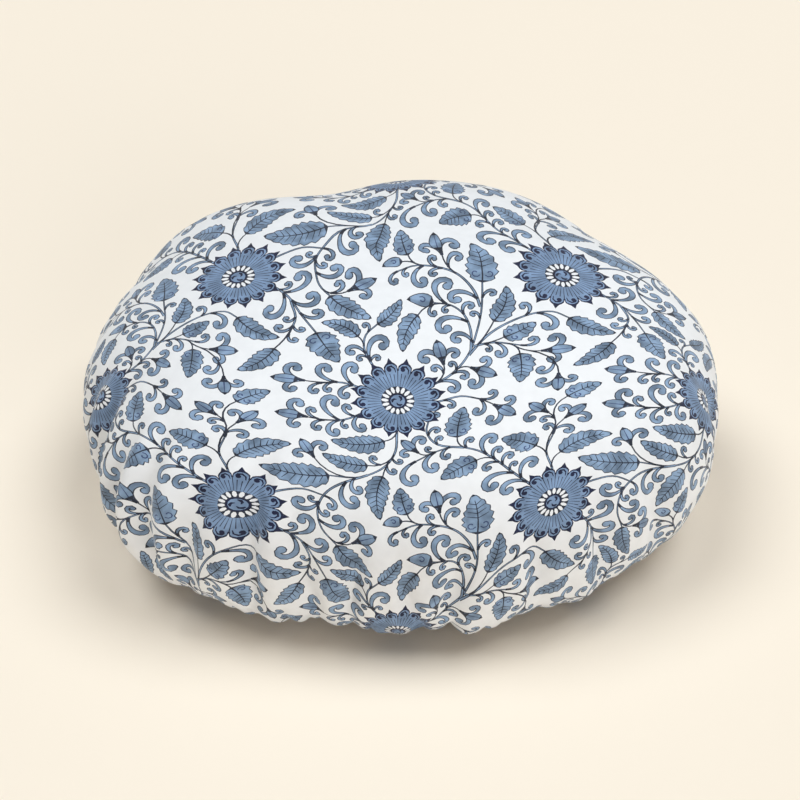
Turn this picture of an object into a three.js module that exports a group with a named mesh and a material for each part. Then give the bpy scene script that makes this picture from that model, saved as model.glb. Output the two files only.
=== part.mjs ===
// A lined shower cap, puffed out and standing on its elastic rim with the opening down.
// Units are millimetres, +Z is up, and the table that it stands on is the plane z = 0.
// The cloth is one flat disc drawn up to a much smaller rim, so the spare cloth stands in folds.

import * as THREE from 'three';

// The puffed body
const BODY_WIDTH = 273;
const BODY_HEIGHT = 121;
const WIDEST_HEIGHT = 46;
const CROWN_FULLNESS = 2.2;
const SAG_FULLNESS = 2.2;

// Broad swells of the outline: waves round the body, height of the swell, where its first peak lies
const OUTLINE_SWELLS = [
  { waves: 2, swell: 7.9, peakDegrees: 1.7 },
  { waves: 3, swell: 1.5, peakDegrees: -35.5 },
  { waves: 4, swell: 3.2, peakDegrees: -28 },
  { waves: 5, swell: 4.3, peakDegrees: 1.3 },
  { waves: 6, swell: 1.1, peakDegrees: 19 },
  { waves: 7, swell: 1.3, peakDegrees: -23.7 },
  { waves: 8, swell: 1.5, peakDegrees: 1.9 },
  { waves: 9, swell: 1.3, peakDegrees: 14.5 },
];

// The main folds, which bunch and spread a little round the rim and are deeper on some sides
const FOLD_COUNT = 15;
const FOLD_DEPTH = 10;
const FOLD_UNEVENNESS = 0.25;
const FOLD_UNEVENNESS_WAVES = 5;
const FOLD_UNEVENNESS_PHASE = 1;
const FOLD_SPACING_SWING = 0.07;
const FOLD_SPACING_WAVES = 3;
const FOLD_SPACING_PHASE = 0.8;

// Share of the full fold depth down a meridian: none on the crown, all of it just before the hem
const FOLDS_START = 0.4;
const FOLD_SHARE_AT_WIDEST = 0.12;
const FOLD_SHARE_AT_FOOT = 0.36;
const FOLDS_FULL = 2.45;

// Air between the table and the lowest fold of the sagging cloth
const SAG_CLEARANCE = 3;

// The two layers of cloth
const FABRIC_THICKNESS = 0.8;
const LINING_THICKNESS = 0.5;
const CLOTH_TURN_RADIUS = 2.4;

// The hem at the rim, a strip folded into a channel that is open at the top
const RIM_DIAMETER = 176;
const HEM_WALL = 0.8;
const HEM_TUCK = 3.5;
const PUCKER_DEPTH = 1.2;

// The elastic in the hem, with its two ends lapped
const ELASTIC_WIDTH = 6;
const ELASTIC_THICKNESS = 0.8;
const ELASTIC_LAP = 16;

// The seam that closes the hem
const THREAD_DIAMETER = 0.6;
const STITCH_RISE = 0.25;
const STITCH_COUNT = 64;

// Air between pieces that touch on the real cap
const CLEARANCE = 0.35;

// Sizes that follow from those
const BODY_RADIUS = BODY_WIDTH / 2;
const RIM_RADIUS = RIM_DIAMETER / 2;
const FOLD_HEIGHT = FOLD_DEPTH / 2;
const FOOT_HEIGHT = SAG_CLEARANCE + FOLD_HEIGHT * (1 + FOLD_UNEVENNESS) * FOLD_SHARE_AT_FOOT;

const CLOTH_STACK = FABRIC_THICKNESS + LINING_THICKNESS + 3 * CLEARANCE;
const ELASTIC_STACK = 2 * ELASTIC_THICKNESS + 3 * CLEARANCE;
const HEM_CAVITY = Math.max(CLOTH_STACK, ELASTIC_STACK);
const HEM_OUTER_RADIUS = RIM_RADIUS + HEM_CAVITY / 2 + HEM_WALL;
const HEM_INNER_RADIUS = RIM_RADIUS - HEM_CAVITY / 2 - HEM_WALL;

const ELASTIC_BOTTOM = HEM_WALL + CLEARANCE;
const CLOTH_EDGE_HEIGHT = ELASTIC_BOTTOM + ELASTIC_WIDTH + CLEARANCE;
const HEM_HEIGHT = CLOTH_EDGE_HEIGHT + HEM_TUCK;
const STITCH_HEIGHT = CLOTH_EDGE_HEIGHT + HEM_TUCK / 2;
const PUCKER_HEIGHT = (HEM_WALL + STITCH_HEIGHT) / 2;

// Where the print side of the fabric drops into the hem, and where its turn into the hem starts
const SLOT_RADIUS = HEM_OUTER_RADIUS - HEM_WALL - CLEARANCE;
const TURN_RADIUS_START = SLOT_RADIUS + CLOTH_TURN_RADIUS;
const TURN_TOP = HEM_HEIGHT + CLOTH_TURN_RADIUS;

// Facets: each fold has a crest, a valley and a point halfway down each flank
const COLUMNS_PER_FOLD = 4;
const COLUMNS = FOLD_COUNT * COLUMNS_PER_FOLD;
const STEPS_PER_STITCH = 2;
const ELASTIC_STEPS = 72;
const THREAD_SIDES = 4;
const QUARTER_TURN = Math.PI / 2;
const FULL_TURN = Math.PI * 2;

const printedCloth = new THREE.MeshStandardMaterial({ color: 0xaebbd2, roughness: 0.75, metalness: 0 });
const clearFilm = new THREE.MeshStandardMaterial({ color: 0xf4f4f2, roughness: 0.35, metalness: 0 });
const hemCloth = new THREE.MeshStandardMaterial({ color: 0xf1efec, roughness: 0.8, metalness: 0 });
const knittedElastic = new THREE.MeshStandardMaterial({ color: 0xf7f6f2, roughness: 0.9, metalness: 0 });
const sewingThread = new THREE.MeshStandardMaterial({ color: 0xfafafa, roughness: 0.6, metalness: 0 });

function spreadAngle(angle) {
  return angle + FOLD_SPACING_SWING * Math.sin(FOLD_SPACING_WAVES * angle + FOLD_SPACING_PHASE);
}

function widestRadius(angle) {
  let radius = BODY_RADIUS;
  for (const { waves, swell, peakDegrees } of OUTLINE_SWELLS) {
    radius += swell * Math.cos(waves * (angle - THREE.MathUtils.degToRad(peakDegrees)));
  }
  return radius;
}

// How far the fold stands out at this angle, from -1 in a valley to 1 on a crest, deeper on some folds
function foldWave(angle) {
  const wave = Math.sin(FOLD_UNEVENNESS_WAVES * angle + FOLD_UNEVENNESS_PHASE);
  return (1 + FOLD_UNEVENNESS * wave) * Math.cos(FOLD_COUNT * angle);
}

// A meridian runs from the crown at 0 through five stretches: the dome, the sagging underside,
// the rise back to the hem, the turn into the hem and the tuck inside it.
const DOME_END = 1;
const SAG_END = 2;
const RISE_END = 3;
const TURN_END = 4;
const TUCK_END = 5;

function smoothStep(share) {
  return (1 - Math.cos(Math.PI * share)) / 2;
}

// The share of the full fold depth at a place on the meridian
function foldShare(place) {
  if (place <= DOME_END) {
    const climb = Math.max(0, (place - FOLDS_START) / (DOME_END - FOLDS_START));
    return FOLD_SHARE_AT_WIDEST * climb * climb;
  }
  if (place <= SAG_END) {
    const climb = smoothStep(place - DOME_END);
    return FOLD_SHARE_AT_WIDEST + (FOLD_SHARE_AT_FOOT - FOLD_SHARE_AT_WIDEST) * climb;
  }
  if (place <= FOLDS_FULL) {
    const climb = smoothStep((place - SAG_END) / (FOLDS_FULL - SAG_END));
    return FOLD_SHARE_AT_FOOT + (1 - FOLD_SHARE_AT_FOOT) * climb;
  }
  if (place <= RISE_END) {
    return 1 - smoothStep((place - FOLDS_FULL) / (RISE_END - FOLDS_FULL));
  }
  return 0;
}

// The smooth body before it is folded: radius and height at a place on one meridian
function smoothBody(place, angle) {
  const widest = widestRadius(angle);
  const footRadius = (TURN_RADIUS_START + widest) / 2;
  if (place <= DOME_END) {
    const turn = place * QUARTER_TURN;
    const power = 2 / CROWN_FULLNESS;
    const rise = Math.max(0, Math.cos(turn)) ** power;
    return [widest * Math.sin(turn) ** power, WIDEST_HEIGHT + (BODY_HEIGHT - WIDEST_HEIGHT) * rise];
  }
  if (place <= SAG_END) {
    const turn = (place - DOME_END) * QUARTER_TURN;
    const power = 2 / SAG_FULLNESS;
    const radius = footRadius + (widest - footRadius) * Math.max(0, Math.cos(turn)) ** power;
    return [radius, WIDEST_HEIGHT - (WIDEST_HEIGHT - FOOT_HEIGHT) * Math.sin(turn) ** power];
  }
  if (place <= RISE_END) {
    const share = place - SAG_END;
    const radius = footRadius + (TURN_RADIUS_START - footRadius) * share;
    return [radius, FOOT_HEIGHT + (TURN_TOP - FOOT_HEIGHT) * smoothStep(share)];
  }
  if (place <= TURN_END) {
    const turn = (place - RISE_END) * QUARTER_TURN;
    const radius = TURN_RADIUS_START - CLOTH_TURN_RADIUS * Math.sin(turn);
    return [radius, HEM_HEIGHT + CLOTH_TURN_RADIUS * Math.cos(turn)];
  }
  return [SLOT_RADIUS, HEM_HEIGHT - (HEM_HEIGHT - CLOTH_EDGE_HEIGHT) * (place - TURN_END)];
}

// The print side of the fabric: the smooth body pushed out on crests and in on valleys
function printSide(place, angle) {
  const step = 0.01;
  const turned = spreadAngle(angle);
  const [radius, height] = smoothBody(place, turned);
  const [radiusBefore, heightBefore] = smoothBody(Math.max(0, place - step), turned);
  const [radiusAfter, heightAfter] = smoothBody(Math.min(TUCK_END, place + step), turned);
  const along = new THREE.Vector2(radiusAfter - radiusBefore, heightAfter - heightBefore).normalize();
  const push = FOLD_HEIGHT * foldShare(place) * foldWave(angle);
  const at = radius - along.y * push;
  return new THREE.Vector3(at * Math.cos(turned), at * Math.sin(turned), height + along.x * push);
}

function outwardNormal(place, angle) {
  const step = 0.02;
  const up = printSide(Math.max(0, place - step), angle);
  const down = printSide(Math.min(TUCK_END, place + step), angle);
  const left = printSide(place, angle - step);
  const right = printSide(place, angle + step);
  return down.sub(up).cross(right.sub(left)).normalize();
}

// A point of the cloth, this deep below the print side
function clothPoint(place, angle, depth) {
  if (place === 0) {
    return new THREE.Vector3(0, 0, BODY_HEIGHT - depth);
  }
  return printSide(place, angle).addScaledVector(outwardNormal(place, angle), -depth);
}

// Rings of points down the cloth. The smooth crown needs fewer points than the folds.
const CLOTH_RINGS = [
  { place: 0.2, columns: COLUMNS / 4 },
  { place: 0.42, columns: COLUMNS / 4 },
  { place: 0.58, columns: COLUMNS / 2 },
  { place: 0.73, columns: COLUMNS / 2 },
  { place: 0.87, columns: COLUMNS / 2 },
  { place: DOME_END, columns: COLUMNS },
  { place: (DOME_END + SAG_END) / 2, columns: COLUMNS },
  { place: SAG_END, columns: COLUMNS },
  { place: FOLDS_FULL, columns: COLUMNS },
  { place: RISE_END, columns: COLUMNS },
  { place: (RISE_END + TURN_END) / 2, columns: COLUMNS },
  { place: TURN_END, columns: COLUMNS },
  { place: TUCK_END, columns: COLUMNS },
];

function geometryFrom(points, triangles) {
  const geometry = new THREE.BufferGeometry();
  geometry.setAttribute('position', new THREE.Float32BufferAttribute(points.flatMap((p) => p.toArray()), 3));
  geometry.setIndex(triangles.flat());
  geometry.computeVertexNormals();
  return geometry;
}

// Triangles between two rings, where the lower ring has as many points as the upper one or twice as many
function bandBetween(upper, lower) {
  const triangles = [];
  const ratio = lower.count / upper.count;
  for (let k = 0; k < upper.count; k += 1) {
    const a = upper.first + k;
    const b = upper.first + ((k + 1) % upper.count);
    const c = lower.first + k * ratio;
    const d = lower.first + ((k * ratio + 1) % lower.count);
    const e = lower.first + ((k * ratio + ratio) % lower.count);
    triangles.push([a, c, d], [a, d, b]);
    if (ratio === 2) {
      triangles.push([b, d, e]);
    }
  }
  return triangles;
}

// One face of a layer of cloth, from the crown to the tucked edge
function clothFace(depth, points) {
  const crown = points.length;
  points.push(clothPoint(0, 0, depth));
  const rings = [];
  for (const { place, columns } of CLOTH_RINGS) {
    rings.push({ first: points.length, count: columns });
    for (let k = 0; k < columns; k += 1) {
      points.push(clothPoint(place, (k / columns) * FULL_TURN, depth));
    }
  }
  const triangles = [];
  for (let k = 0; k < rings[0].count; k += 1) {
    triangles.push([crown, rings[0].first + k, rings[0].first + ((k + 1) % rings[0].count)]);
  }
  for (let i = 1; i < rings.length; i += 1) {
    triangles.push(...bandBetween(rings[i - 1], rings[i]));
  }
  return { triangles, edge: rings[rings.length - 1] };
}

// A layer of cloth between two depths below the print side, closed along its tucked edge
function clothLayer(outerDepth, innerDepth) {
  const points = [];
  const outer = clothFace(outerDepth, points);
  const inner = clothFace(innerDepth, points);
  const turnedOver = inner.triangles.map(([a, b, c]) => [a, c, b]);
  return geometryFrom(points, [...outer.triangles, ...turnedOver, ...bandBetween(outer.edge, inner.edge)]);
}

// A closed ring swept from a section of radius and height pairs, listed anticlockwise
function sweptRing(steps, sectionAt) {
  const points = [];
  const triangles = [];
  let sides = 0;
  for (let k = 0; k < steps; k += 1) {
    const angle = (k / steps) * FULL_TURN;
    const section = sectionAt(k);
    sides = section.length;
    for (const [radius, height] of section) {
      points.push(new THREE.Vector3(radius * Math.cos(angle), radius * Math.sin(angle), height));
    }
  }
  for (let k = 0; k < steps; k += 1) {
    for (let i = 0; i < sides; i += 1) {
      const a = k * sides + i;
      const b = k * sides + ((i + 1) % sides);
      const c = ((k + 1) % steps) * sides + i;
      const d = ((k + 1) % steps) * sides + ((i + 1) % sides);
      triangles.push([a, c, d], [a, d, b]);
    }
  }
  return geometryFrom(points, triangles);
}

// The hem strip, folded up round the elastic. Its walls pucker between the seam and the bottom fold,
// and the bottom fold is flat where the cap stands on it.
function hemCasing() {
  return sweptRing(COLUMNS, (k) => {
    const pucker = k % 2 === 0 ? 0 : PUCKER_DEPTH;
    const out = HEM_OUTER_RADIUS;
    const cavityOut = out - HEM_WALL;
    const inner = HEM_INNER_RADIUS;
    const cavityIn = inner + HEM_WALL;
    return [
      [inner + HEM_WALL, 0],
      [out - HEM_WALL, 0],
      [out, HEM_WALL],
      [out + pucker, PUCKER_HEIGHT],
      [out, STITCH_HEIGHT],
      [out, HEM_HEIGHT],
      [cavityOut, HEM_HEIGHT],
      [cavityOut, STITCH_HEIGHT],
      [cavityOut + pucker, PUCKER_HEIGHT],
      [cavityOut, HEM_WALL],
      [cavityIn, HEM_WALL],
      [cavityIn - pucker, PUCKER_HEIGHT],
      [cavityIn, STITCH_HEIGHT],
      [cavityIn, HEM_HEIGHT],
      [inner, HEM_HEIGHT],
      [inner, STITCH_HEIGHT],
      [inner - pucker, PUCKER_HEIGHT],
      [inner, HEM_WALL],
    ];
  });
}

// The elastic runs a little more than once round, so that its ends lie one outside the other
function elasticBand() {
  const lapAngle = ELASTIC_LAP / RIM_RADIUS;
  const drift = ELASTIC_THICKNESS + CLEARANCE;
  const points = [];
  const triangles = [];
  for (let k = 0; k <= ELASTIC_STEPS; k += 1) {
    const share = k / ELASTIC_STEPS;
    const angle = share * (FULL_TURN + lapAngle);
    const middle = RIM_RADIUS + (share - 0.5) * drift;
    for (const [side, height] of [[-1, 0], [1, 0], [1, 1], [-1, 1]]) {
      const radius = middle + (side * ELASTIC_THICKNESS) / 2;
      const z = ELASTIC_BOTTOM + height * ELASTIC_WIDTH;
      points.push(new THREE.Vector3(radius * Math.cos(angle), radius * Math.sin(angle), z));
    }
  }
  for (let k = 0; k < ELASTIC_STEPS; k += 1) {
    for (let i = 0; i < 4; i += 1) {
      const a = k * 4 + i;
      const b = k * 4 + ((i + 1) % 4);
      triangles.push([a, a + 4, b + 4], [a, b + 4, b]);
    }
  }
  const end = ELASTIC_STEPS * 4;
  triangles.push([0, 1, 2], [0, 2, 3], [end, end + 2, end + 1], [end, end + 3, end + 2]);
  return geometryFrom(points, triangles);
}

// One thread of the seam, lying on a wall of the hem: each stitch rises between two needle holes
function seamThread(wallRadius, outward) {
  return sweptRing(STITCH_COUNT * STEPS_PER_STITCH, (k) => {
    const rise = k % STEPS_PER_STITCH === 0 ? 0 : STITCH_RISE;
    const middle = wallRadius + outward * (CLEARANCE + THREAD_DIAMETER / 2 + rise);
    const section = [];
    for (let i = 0; i < THREAD_SIDES; i += 1) {
      const turn = (i / THREAD_SIDES) * FULL_TURN;
      const radius = middle + (THREAD_DIAMETER / 2) * Math.cos(turn);
      section.push([radius, STITCH_HEIGHT + (THREAD_DIAMETER / 2) * Math.sin(turn)]);
    }
    return section;
  });
}

function piece(name, geometry, material) {
  const mesh = new THREE.Mesh(geometry, material);
  mesh.name = name;
  return mesh;
}

const liningDepth = FABRIC_THICKNESS + CLEARANCE;

const cap = new THREE.Group();
cap.add(
  piece('outer_shell', clothLayer(0, FABRIC_THICKNESS), printedCloth),
  piece('inner_lining', clothLayer(liningDepth, liningDepth + LINING_THICKNESS), clearFilm),
  piece('hem_casing', hemCasing(), hemCloth),
  piece('elastic_band', elasticBand(), knittedElastic),
  piece('needle_thread', seamThread(HEM_OUTER_RADIUS, 1), sewingThread),
  piece('bobbin_thread', seamThread(HEM_INNER_RADIUS, -1), sewingThread),
);

// The swells are uneven, so the cap is centred over the origin by its own extent
const extent = new THREE.Box3().setFromObject(cap);
const middle = extent.getCenter(new THREE.Vector3());
cap.position.set(-middle.x, -middle.y, 0);

export default cap;
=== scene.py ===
import math
import bpy
import numpy as np
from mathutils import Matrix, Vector
from mathutils.geometry import delaunay_2d_cdt


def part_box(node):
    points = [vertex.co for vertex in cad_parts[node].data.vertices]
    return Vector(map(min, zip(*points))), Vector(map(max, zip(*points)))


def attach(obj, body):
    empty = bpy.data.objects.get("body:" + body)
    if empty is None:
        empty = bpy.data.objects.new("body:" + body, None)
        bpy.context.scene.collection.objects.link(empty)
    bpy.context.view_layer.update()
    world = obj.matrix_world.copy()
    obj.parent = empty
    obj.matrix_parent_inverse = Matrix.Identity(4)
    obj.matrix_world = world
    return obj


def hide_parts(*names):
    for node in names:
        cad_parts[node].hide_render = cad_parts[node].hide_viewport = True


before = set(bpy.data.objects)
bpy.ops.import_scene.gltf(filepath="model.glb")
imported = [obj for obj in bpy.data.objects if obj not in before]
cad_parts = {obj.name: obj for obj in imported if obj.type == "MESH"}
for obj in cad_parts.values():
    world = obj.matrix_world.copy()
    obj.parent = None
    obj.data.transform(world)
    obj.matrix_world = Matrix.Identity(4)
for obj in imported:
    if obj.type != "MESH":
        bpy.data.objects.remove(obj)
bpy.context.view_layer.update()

# A shower cap: printed cloth and a film under it, gathered into a stitched hem round an elastic.
# Lengths are millimetres, and the objects are made in metres.
MM = 0.001
FULL_TURN = 2 * math.pi
# Waves round the cap are given as count, height and phase.
# A reach is where on a meridian a form starts, over how far it grows, where it fades and over how far.

# The puffed body
BODY_RADIUS = 136.5
BODY_HEIGHT = 121.0
WIDEST_HEIGHT = 46.0
CROWN_FULLNESS = 2.2
SAG_FULLNESS = 2.2
FOOT_HEIGHT = 5.25
# Broad swells of the outline: count, height, and the first one's angle in degrees
OUTLINE_SWELLS = (
    (2, 7.9, 1.7), (3, 1.5, -35.5), (4, 3.2, -28.0), (5, 4.3, 1.3),
    (6, 1.1, 19.0), (7, 1.3, -23.7), (8, 1.5, 1.9), (9, 1.3, 14.5),
)

# The main folds, unevenly deep and unevenly spaced
FOLD_COUNT = 15
FOLD_HEIGHT = 5.0
FOLD_UNEVENNESS = (5, 0.25, 1.0)
FOLD_SWING = (3, 0.07, 0.8)
SWING_STEPS = 5
# Where on a meridian they start, their share of the full height on the way, and where they are full
FOLDS_START = 0.4
FOLDS_AT_WIDEST = 0.12
FOLDS_AT_FOOT = 0.36
FOLDS_FULL = 2.45

# The small gathers between the folds; the mean keeps them from making the cap larger
GATHER_COUNT = 57
GATHER_HEIGHT = 2.2
GATHER_REACH = (1.1, 1.0, 2.45, 0.5)
GATHER_WANDER = ((3, 1.1, 0.4), (7, 1.0, 2.1), (11, 0.64, 4.4))
GATHER_LEVEL = 0.75
GATHER_SWELLS = ((9, 0.25, 0.6), (14, 0.2, 2.0))
GATHER_MEAN = 1.27

# Soft creases in the dome: angle and width in degrees, depth, and start on the meridian
CREASES = (
    (242, 2.2, 4.8, 0.49), (252, 2.0, 2.4, 0.68), (231, 2.0, 3.0, 0.60), (222, 2.4, 4.2, 0.52),
    (213, 2.0, 3.3, 0.58), (203, 2.6, 3.9, 0.54), (192, 2.2, 2.4, 0.64), (262, 1.8, 3.6, 0.74),
    (271, 1.8, 2.4, 0.80), (281, 2.2, 3.3, 0.70), (296, 2.0, 2.7, 0.70), (309, 2.2, 2.7, 0.66),
    (322, 2.4, 2.7, 0.64), (345, 2.4, 2.4, 0.62), (12, 2.6, 2.4, 0.62), (38, 2.9, 3.0, 0.56),
    (66, 2.4, 2.4, 0.62), (88, 2.6, 2.7, 0.58), (109, 2.6, 3.3, 0.54), (137, 2.4, 2.7, 0.60),
    (160, 2.6, 3.0, 0.56), (177, 2.2, 2.4, 0.62),
)
# The rest of a crease's reach, and the most that it leans to either side, in degrees
CREASE_REACH = (0.4, 1.1, 0.5)
CREASE_LEAN = 6.0
# The cloth beside a crease swells: share of the depth, and how many widths away
CREASE_LIP = 0.45
CREASE_LIP_PLACE = 1.9

# Narrow tucks where the cloth turns under: least and most depth, least and most width in degrees
TUCK_COUNT = 46
TUCK_DEPTH = (1.0, 4.0)
TUCK_WIDTH = (0.8, 1.6)
TUCK_SHIFT = 0.35
TUCK_SHARPNESS = 1.3
TUCK_REACH = (1.15, 0.8, 2.3, 0.5)
TUCK_SEED = 3

# Broad dents, which twist on their way down
DENTS = ((3, 0.9, 0.7), (5, 0.6, 2.4), (8, 0.4, 4.0))
DENT_REACH = (0.0, 0.6, 0.9, 1.0)
DENT_TWIST = 2.2

# The rim: the hem's channel, and where the cloth turns into it
TURN_RADIUS = 2.4
HEM_OUTER_RADIUS = 90.125
HEM_INNER_RADIUS = 85.875
HEM_WALL = 0.8
HEM_HEIGHT = 11.0
CLOTH_EDGE_HEIGHT = 7.5
SLOT_RADIUS = 88.975
TURN_START = SLOT_RADIUS + TURN_RADIUS
TURN_TOP = HEM_HEIGHT + TURN_RADIUS
LINING_DEPTH = 1.4

# Stretches of a meridian, from the crown into the hem
DOME_END, SAG_END, RISE_END, TURN_END, TUCK_END = 1, 2, 3, 4, 5
SLOPE_STEP = 0.004

low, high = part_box("hem_casing")
AXIS = np.array(((low[0] + high[0]) / 2, (low[1] + high[1]) / 2)) / MM


def smooth_step(share):
    return (1 - np.cos(math.pi * np.clip(share, 0, 1))) / 2


def rise_and_fall(place, start, growth, fade_start, fade):
    """The share of a form's full height at a place on a meridian, from its reach."""
    return smooth_step((place - start) / growth) * (1 - smooth_step((place - fade_start) / fade))


def ripple(angle, waves, shift=0.0):
    """The sum of waves round the cap."""
    return sum(height * np.sin(count * angle + phase + shift) for count, height, phase in waves)


def turn_from(middle, angle):
    """How far the angle lies from the middle, at most half a turn either way."""
    return (angle - middle + math.pi) % FULL_TURN - math.pi


def round_axis(radius, angle, height):
    """Points round the cap's own axis."""
    return np.stack([AXIS[0] + radius * np.cos(angle), AXIS[1] + radius * np.sin(angle), height], -1)


def widest_radius(angle):
    radius = BODY_RADIUS
    for waves, swell, peak in OUTLINE_SWELLS:
        radius = radius + swell * np.cos(waves * (angle - math.radians(peak)))
    return radius


def smooth_body(place, angle):
    """Radius and height of the cloth before it is folded, at a place on a meridian."""
    widest = widest_radius(angle)
    foot = (TURN_START + widest) / 2
    power, sag_power = 2 / CROWN_FULLNESS, 2 / SAG_FULLNESS
    dome, sag, rise, turn, tuck = [np.clip(place - start, 0, 1) for start in range(TUCK_END)]
    dome, sag, turn = [share * math.pi / 2 for share in (dome, sag, turn)]
    stretches = [place <= end for end in (DOME_END, SAG_END, RISE_END, TURN_END)]
    radius = np.select(stretches, [
        widest * np.sin(dome) ** power,
        foot + (widest - foot) * np.maximum(np.cos(sag), 0) ** sag_power,
        foot + (TURN_START - foot) * rise,
        TURN_START - TURN_RADIUS * np.sin(turn),
    ], SLOT_RADIUS)
    height = np.select(stretches, [
        WIDEST_HEIGHT + (BODY_HEIGHT - WIDEST_HEIGHT) * np.maximum(np.cos(dome), 0) ** power,
        WIDEST_HEIGHT - (WIDEST_HEIGHT - FOOT_HEIGHT) * np.sin(sag) ** sag_power,
        FOOT_HEIGHT + (TURN_TOP - FOOT_HEIGHT) * smooth_step(rise),
        HEM_HEIGHT + TURN_RADIUS * np.cos(turn),
    ], HEM_HEIGHT - (HEM_HEIGHT - CLOTH_EDGE_HEIGHT) * tuck)
    return radius, height


def fold_share(place):
    """The share of the main folds' height at a place on a meridian."""
    dome = FOLDS_AT_WIDEST * np.clip((place - FOLDS_START) / (DOME_END - FOLDS_START), 0, 1) ** 2
    sag = FOLDS_AT_WIDEST + (FOLDS_AT_FOOT - FOLDS_AT_WIDEST) * smooth_step(place - DOME_END)
    under = FOLDS_AT_FOOT + (1 - FOLDS_AT_FOOT) * smooth_step((place - SAG_END) / (FOLDS_FULL - SAG_END))
    hem = 1 - smooth_step((place - FOLDS_FULL) / (RISE_END - FOLDS_FULL))
    return np.select([place <= DOME_END, place <= SAG_END, place <= FOLDS_FULL], [dome, sag, under], hem)


def main_folds(angle):
    """The main folds round the rim, about -1 in a valley and 1 on a crest."""
    even = angle
    for _ in range(SWING_STEPS):
        even = angle - ripple(even, [FOLD_SWING])
    return (1 + ripple(even, [FOLD_UNEVENNESS])) * np.cos(FOLD_COUNT * even)


def small_gathers(angle):
    """Small gathers with round crests and sharp valleys."""
    phase = GATHER_COUNT * angle + ripple(angle, GATHER_WANDER)
    height = GATHER_LEVEL + ripple(angle, GATHER_SWELLS)
    return height * (2 * np.abs(np.cos(phase / 2)) - GATHER_MEAN)


def uneven_tucks():
    """Angle, width and depth of each narrow tuck."""
    rng = np.random.default_rng(TUCK_SEED)
    shifts = rng.uniform(-TUCK_SHIFT, TUCK_SHIFT, TUCK_COUNT)
    angles = (np.arange(TUCK_COUNT) + shifts) * FULL_TURN / TUCK_COUNT
    widths = np.radians(rng.uniform(*TUCK_WIDTH, TUCK_COUNT))
    return list(zip(angles, widths, rng.uniform(*TUCK_DEPTH, TUCK_COUNT)))


TUCKS = uneven_tucks()


def relief(place, angle):
    """How far the cloth stands out from the smooth body."""
    out = FOLD_HEIGHT * fold_share(place) * main_folds(angle)
    out = out + GATHER_HEIGHT * rise_and_fall(place, *GATHER_REACH) * small_gathers(angle)
    out = out + rise_and_fall(place, *DENT_REACH) * ripple(angle, DENTS, DENT_TWIST * place)
    for at, width, depth, start in CREASES:
        lean = CREASE_LEAN * math.sin(at) * (place - DOME_END)
        turn = turn_from(np.radians(at + lean), angle) / math.radians(width)
        lips = CREASE_LIP * np.exp(-(np.abs(turn) - CREASE_LIP_PLACE) ** 2)
        out = out - depth * rise_and_fall(place, start, *CREASE_REACH) * (np.exp(-turn ** 2) - lips)
    reach = rise_and_fall(place, *TUCK_REACH)
    for at, width, depth in TUCKS:
        turn = np.abs(turn_from(at, angle)) / width
        out = out - depth * reach * np.exp(-turn ** TUCK_SHARPNESS)
    return out


def cloth_at(place, angle, depth=0.0):
    """Points of the cloth, this deep below its print side."""
    radius, height = smooth_body(place, angle)
    before = smooth_body(np.maximum(place - SLOPE_STEP, 0), angle)
    after = smooth_body(np.minimum(place + SLOPE_STEP, TUCK_END), angle)
    run, drop = after[0] - before[0], after[1] - before[1]
    length = np.hypot(run, drop)
    push = relief(place, angle) - depth
    return round_axis(radius - drop / length * push, angle, height + run / length * push)


def meridian_table(places=601, angles=361, shares=501):
    """Where on its meridian each share of the flat radius lies, for each angle, and the mean flat radius."""
    place = np.linspace(0, TUCK_END, places)
    angle = np.linspace(-math.pi, math.pi, angles)
    radius, height = smooth_body(*np.meshgrid(place, angle, indexing="ij"))
    arc = np.zeros((places, angles))
    arc[1:] = np.cumsum(np.hypot(np.diff(radius, axis=0), np.diff(height, axis=0)), axis=0)
    even = np.linspace(0, 1, shares)
    table = np.stack([np.interp(even, arc[:, k] / arc[-1, k], place) for k in range(angles)], 1)
    return table, float(arc[-1].mean())


MERIDIANS, FLAT_RADIUS = meridian_table()


def place_of(share, angle):
    """The place on a meridian, read between the rows and columns of the table."""
    rows, columns = MERIDIANS.shape
    row = np.clip(share, 0, 1) * (rows - 1)
    column = (angle + math.pi) / FULL_TURN * (columns - 1)
    i = np.minimum(row.astype(int), rows - 2)
    j = np.minimum(column.astype(int), columns - 2)
    row, column = row - i, column - j
    top = MERIDIANS[i, j] * (1 - column) + MERIDIANS[i, j + 1] * column
    bottom = MERIDIANS[i + 1, j] * (1 - column) + MERIDIANS[i + 1, j + 1] * column
    return top * (1 - row) + bottom * row


def gathered(flat, depth=0.0):
    """Where points of the flat cut disc lie on the finished cap."""
    angle = np.arctan2(flat[:, 1], flat[:, 0])
    return cloth_at(place_of(np.hypot(*flat.T) / FLAT_RADIUS, angle), angle, depth)


def gathered_normals(flat, reach=0.2):
    across = gathered(flat + (reach, 0)) - gathered(flat - (reach, 0))
    along = gathered(flat + (0, reach)) - gathered(flat - (0, reach))
    normals = np.cross(across, along)
    return normals / np.maximum(np.linalg.norm(normals, axis=1, keepdims=True), 1e-9)


# The print, drawn flat: one repeat with two flowers, their stems, leaves and curls
REPEAT = np.array((147.0, 148.7))
GROUND, BLUE, SLATE, NAVY, DEEP, FLOWER = range(6)
OUTLINE = 0.48
TIP_HALF = 0.04
# Half widths of lines at their start and end
STEM_HALF = (0.72, 0.42)
STEM_CORE = (0.34, 0.08)
TWIG_HALF = (0.42, 0.34)
MIDRIB_HALF = (0.4, 0.18)
VEIN_HALF = (0.24, 0.13)
PETAL_LINE_HALF = (0.32, 0.12)
SPIRAL_HALF = (0.34, 0.26)


def unit(angle):
    return np.array((math.cos(angle), math.sin(angle)))


def units(angles):
    return np.stack([np.cos(angles), np.sin(angles)], -1)


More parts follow.
